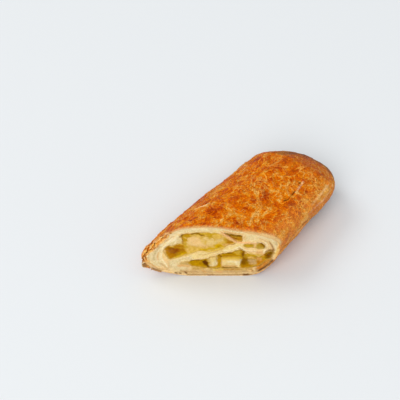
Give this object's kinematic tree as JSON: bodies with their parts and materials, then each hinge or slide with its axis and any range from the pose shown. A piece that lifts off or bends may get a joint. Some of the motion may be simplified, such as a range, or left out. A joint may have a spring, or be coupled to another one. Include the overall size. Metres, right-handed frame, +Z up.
{
  "type": "apple strudel half",
  "caption": "Baked apple strudel cut slantwise in half: browned flaky roll round diced apple filling, sealed at the far end.",
  "frame": {"origin": "middle of the footprint's bounding box, at the height of the flat base", "axes": "+X along the roll from the slanted cut to the sealed end, +Y to the left as the cut is faced, +Z up"},
  "size_m": [0.121, 0.0658, 0.0397],
  "materials": {
    "crust": "satin baked egg wash over flaky dough",
    "filling": "moist cooked apple jelly",
    "apple": "moist cooked apple"
  },
  "bodies": {
    "root": {"pastry": "crust", "filling_upper": "filling", "filling_side": "filling", "filling_lower": "filling", "apple_1": "apple", "apple_2": "apple", "apple_3": "apple", "apple_4": "apple", "apple_5": "apple", "apple_6": "apple", "apple_7": "apple", "apple_8": "apple", "apple_9": "apple"}
  },
  "joints": []
}
